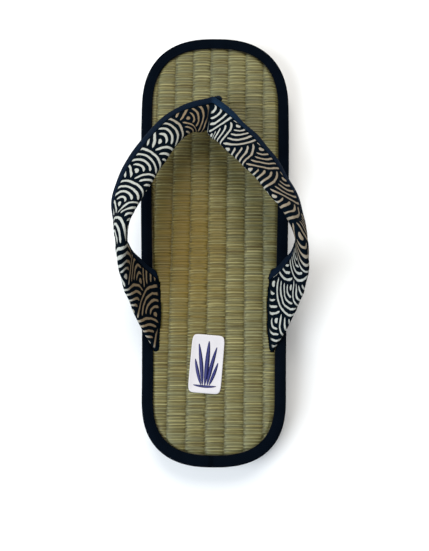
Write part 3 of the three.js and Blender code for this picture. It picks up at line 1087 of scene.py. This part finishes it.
def lengths_round(turns, wide, deep, power):
    """Lengths round the tube from the crest of its face. Turns behind the strip are counted backwards."""
    sweep = np.radians(np.arange(-90, 360 + TUBE_SWEEP_STEP, TUBE_SWEEP_STEP))
    curve = np.column_stack(tube_curve(sweep, wide, deep, power))
    reached = run_lengths(curve)
    reached -= np.interp(math.pi / 2, sweep, reached)
    behind = turns > math.radians(BEHIND_TURN)
    return np.interp(np.where(behind, turns - 2 * math.pi, turns), sweep, reached)


def strap_rings(turns, insets, shift):
    """Rings from one tail over the apex to the other, with lengths along and round the cloth."""
    turns = np.radians(turns)
    rings = []
    fields = []
    lengths = run_lengths([spline(ARM_PATH, step / ARM_SECTIONS) for step in range(ARM_SECTIONS + 1)])
    for step in range(-ARM_SECTIONS, ARM_SECTIONS + 1):
        way = -1 if step < 0 else 1
        section = arm_section(abs(step) / ARM_SECTIONS, way)
        wide = section.width / 2
        deep = section.thick / 2
        place = way * lengths[abs(step)]
        tail = smoothstep(abs(place), *TAIL)
        power = lerp(TUBE_POWER, TAIL_POWER, tail)
        flat_x, flat_y = tube_curve(turns, 1, 1, power)
        normal = np.column_stack([np.sign(flat_x) * np.abs(flat_x) ** (power - 1) / wide,
                                  np.sign(flat_y) * np.abs(flat_y) ** (power - 1) / deep])
        normal /= np.linalg.norm(normal, axis=1)[:, None]
        flat = np.column_stack([wide * flat_x, deep * flat_y])
        around = lengths_round(turns, wide, deep, power)
        along = np.full(len(turns), place)
        spread = TAIL_FRONT * tail - settled(RIGHT_NARROW, place)
        flat[:, 0] *= 1 + np.where(flat[:, 0] > 0, spread, -settled(LEFT_NARROW, place))
        flat = flat + normal * (shift(along, around) - insets)[:, None]
        points = section.centre + np.outer(flat[:, 0], section.outward)
        points += np.outer(flat[:, 1], section.face)
        points[:, 0] = way * points[:, 0] + lean(points[:, 1] + LENGTH / 2)
        points[:, 1] += settled(LEFT_FORWARD, place)
        rings.append(points)
        above = points[:, 2] - footbed(points[:, 1] + LENGTH / 2)
        fields.append(np.column_stack([along, around, above]))
    return rings, fields


def tail_level():
    """The height inside the mat where the tails end."""
    return footbed(SLIT_ROW.along) - TAIL_DEPTH


def trim_tails(shape, extra=0):
    """Cuts the tails off level inside the mat and closes the cuts."""
    level = (tail_level() - extra) * MM
    parts = shape.verts[:] + shape.edges[:] + shape.faces[:]
    cut = bmesh.ops.bisect_plane(shape, geom=parts, plane_co=(0, 0, level), plane_no=(0, 0, -1),
                                 clear_outer=True)
    rim = [part for part in cut["geom_cut"] if isinstance(part, bmesh.types.BMEdge)]
    bmesh.ops.holes_fill(shape, edges=rim)


def tail_space():
    """The room that the two tails need in the mat and the binding, a little more than they fill."""
    turns = np.linspace(0, 360, SPACE_SIDES, endpoint=False)
    rings, fields = strap_rings(turns, np.full(SPACE_SIDES, -SPACE_GROWTH), creases)
    points = []
    faces = []
    for way in (-1, 1):
        first = len(points) * SPACE_SIDES
        kept = [ring for ring, field in zip(rings, fields) if way * field[0, 0] > TAIL[0]]
        points += kept
        faces += ring_faces(len(kept), SPACE_SIDES, caps=(0, len(kept) - 1), first=first)
    return make_form("tail_space", np.concatenate(points), faces,
                     finish=lambda shape: trim_tails(shape, CLEARANCE))


def make_strap():
    shown = np.linspace(*SHOWN_TURNS, TUBE_STEPS)
    tucked = np.linspace(*TUCKED_TURNS, EDGING_STEPS)
    turns = np.concatenate([shown, tucked])
    edge = np.minimum(shown - shown[0], shown[-1] - shown)
    seam = STRIP_SEAM * bell(edge, STRIP_SEAM_TURN)
    insets = np.concatenate([seam, np.full(len(tucked), EDGING_CLOTH + CLEARANCE)])
    rings, fields = strap_rings(turns, insets, creases)
    piece = make_ringed("strap_print", rings, print_material(), "strap_print", fields,
                        node="strap", finish=trim_tails)
    return piece


def edging_shift(along, around):
    """The strip follows the cushion's lumps and laps over itself beside the apex."""
    lap = EDGING_LAP * smoothstep(along, *EDGING_LAP_ALONG)
    return creases(along, around) + lap * np.exp(-np.maximum(0, along) / EDGING_LAP_FADE)


def make_edging():
    outer = np.linspace(-EDGING_BACK_TURN, EDGING_FACE_TURN, EDGING_STEPS * 2)
    turns = np.concatenate([outer, outer[::-1]])
    edge = np.minimum(outer - outer[0], outer[-1] - outer)
    roll = EDGING_ROLL * bell(edge, EDGING_ROLL_TURN)
    insets = np.concatenate([roll - EDGING_PROUD, np.full(len(outer), EDGING_CLOTH)])
    rings, fields = strap_rings(turns, insets, edging_shift)
    # The strip's cloth gets the painted highlight
    cloth = plain_cloth("strap_plain", EDGING_COLOURS, pitch=0.6, gloss=0.05, painted_highlight=True)
    piece = make_ringed("strap_edging_tape", rings, cloth, "strap_plain", fields,
                        node="strap_edging", finish=trim_tails)
    outside = np.array([ring[:len(outer)] for ring in rings if ring[:, 2].mean() > tail_level()])
    return piece


# Toe post
def make_post(cloth, strip):
    """The post's cord, pushed forward where it meets the strip round the strap's front edge."""
    behind = BVHTree.FromPolygons([vertex.co for vertex in strip.data.vertices],
                                  [face.vertices for face in strip.data.polygons])
    turns = np.linspace(0, 2 * math.pi, POST_SIDES, endpoint=False)
    route = [np.array(row, float) for row in POST]
    rings = []
    fields = []
    for step in range(POST_STEPS + 1):
        share = step / POST_STEPS
        across, along, up, radius = spline(route, share)
        dome = math.sqrt(max(0, 1 - max(0, (share - POST_DOME) / (1 - POST_DOME)) ** 2))
        lobes = 1 - POST_LOBE + POST_LOBE * np.cos(POST_LOBES * (turns + POST_TWIST * share))
        reach = radius * lobes * dome
        height = footbed(along) + up
        ring = np.column_stack([across + reach * np.cos(turns), middle(along + reach * np.sin(turns)),
                                np.full(POST_SIDES, height)])
        for point in ring:
            for beside in (-POST_MARGIN, 0, POST_MARGIN):
                ahead = Vector((point[0], LENGTH, height + beside)) * MM
                front = behind.ray_cast(ahead, Vector((0, -1, 0)))[0]
                if front:
                    point[1] = max(point[1], front.y / MM + CLEARANCE)
        rings.append(ring)
        # Lengths along the post lie below the strip's painted highlight, so the post stays dark
        fields.append(np.column_stack(np.broadcast_arrays(-turns * radius - STRIP_HIGHLIGHT_REACH, up, 0)))
    return make_ringed("toe_post_cord", rings, cloth, "strap_plain", fields, caps=(0,), node="toe_post")


# Label
def label_place(flat):
    """Points of the label, from its own middle, laid on the footbed."""
    turned = flat @ np.array([[math.cos(LABEL_TURN), math.sin(LABEL_TURN)],
                              [-math.sin(LABEL_TURN), math.cos(LABEL_TURN)]])
    return turned + LABEL_PLACE


def make_label():
    turns = np.linspace(0, 2 * math.pi, LABEL_SIDES, endpoint=False)
    rim = np.column_stack(tube_curve(turns, LABEL_WIDTH / 2, LABEL_HEIGHT / 2, LABEL_POWER))
    rings = []
    for share, height in LABEL_SECTION:
        flat = label_place(rim * share)
        rings.append(ring_at(flat, footbed(flat[:, 1]) + LABEL_LIFT + height))
    return make_ringed("heel_label", rings, card_material(), "rush_mat")


def make_motif():
    points = []
    faces = []
    for stroke in STALKS:
        first = len(points)
        start, bend, end = np.array(stroke[:3], float)
        for step in range(STALK_STEPS + 1):
            share = step / STALK_STEPS
            centre = lerp(lerp(start, bend, share), lerp(bend, end, share), share)
            run = lerp(bend - start, end - bend, share)
            beside = np.array([-run[1], run[0]]) / np.linalg.norm(run)
            taper = math.sin(math.pi * lerp(STALK_BLUNT, 1 - STALK_BLUNT, share)) ** STALK_POWER
            for side, height in STALK_SECTION:
                flat = label_place(centre + beside * side * stroke.width / 2 * taper)
                points.append((flat[0], middle(flat[1]), footbed(flat[1]) + LABEL_LIFT + height))
        faces += ring_faces(STALK_STEPS + 1, len(STALK_SECTION), caps=(0, STALK_STEPS), first=first)
    return make_piece("heel_label_motif", points, faces, ink_material(), "strap_plain")


# Stage
def make_floor():
    mesh = bpy.data.meshes.new("floor")
    corners = [(-1, -1), (1, -1), (1, 1), (-1, 1)]
    mesh.from_pydata([(x * FLOOR_REACH, y * FLOOR_REACH, 0) for x, y in corners], [], [(0, 1, 2, 3)])
    material, tree, shader = new_material("floor_paper", roughness=0.9)
    mottle(tree, shader, FLOOR_COLOURS, scale=3, detail=2)
    mesh.materials.append(material)
    add_object("floor", mesh)


def add_light(row):
    light = bpy.data.lights.new(row.name, "AREA")
    light.shape = "DISK"
    light.size = row.size
    light.energy = row.power
    light.color = row.colour
    lamp = add_object(row.name, light)
    lamp.location = row.place
    lamp.rotation_euler = (Vector(LIGHT_TARGET) - Vector(row.place)).to_track_quat("-Z", "Y").to_euler()


def make_stage():
    make_floor()
    for row in LIGHTS:
        add_light(row)
    world = bpy.data.worlds.new("studio")
    world.use_nodes = True
    background = world.node_tree.nodes["Background"]
    background.inputs["Color"].default_value = WORLD_COLOUR
    background.inputs["Strength"].default_value = WORLD_STRENGTH
    bpy.context.scene.world = world
    bpy.context.scene.view_settings.view_transform = "Standard"


def make_camera():
    camera = bpy.data.cameras.new("camera")
    camera.sensor_width = SENSOR
    camera.lens = FOCAL_PX / PHOTO_HEIGHT_PX * SENSOR
    camera.clip_start = CAMERA_CLIP
    view = add_object("camera", camera)
    view.location = Vector(CAMERA_PLACE) * MM
    view.rotation_euler = (CAMERA_TILT, 0, CAMERA_TURN)
    bpy.context.scene.camera = view


make_camera()
make_stage()
make_sole()
tails = tail_space()
make_mat(tails)
make_binding(tails)
bpy.data.objects.remove(tails)
make_strap()
edging = make_edging()
make_post(edging.data.materials[0], edging)
make_label()
make_motif()
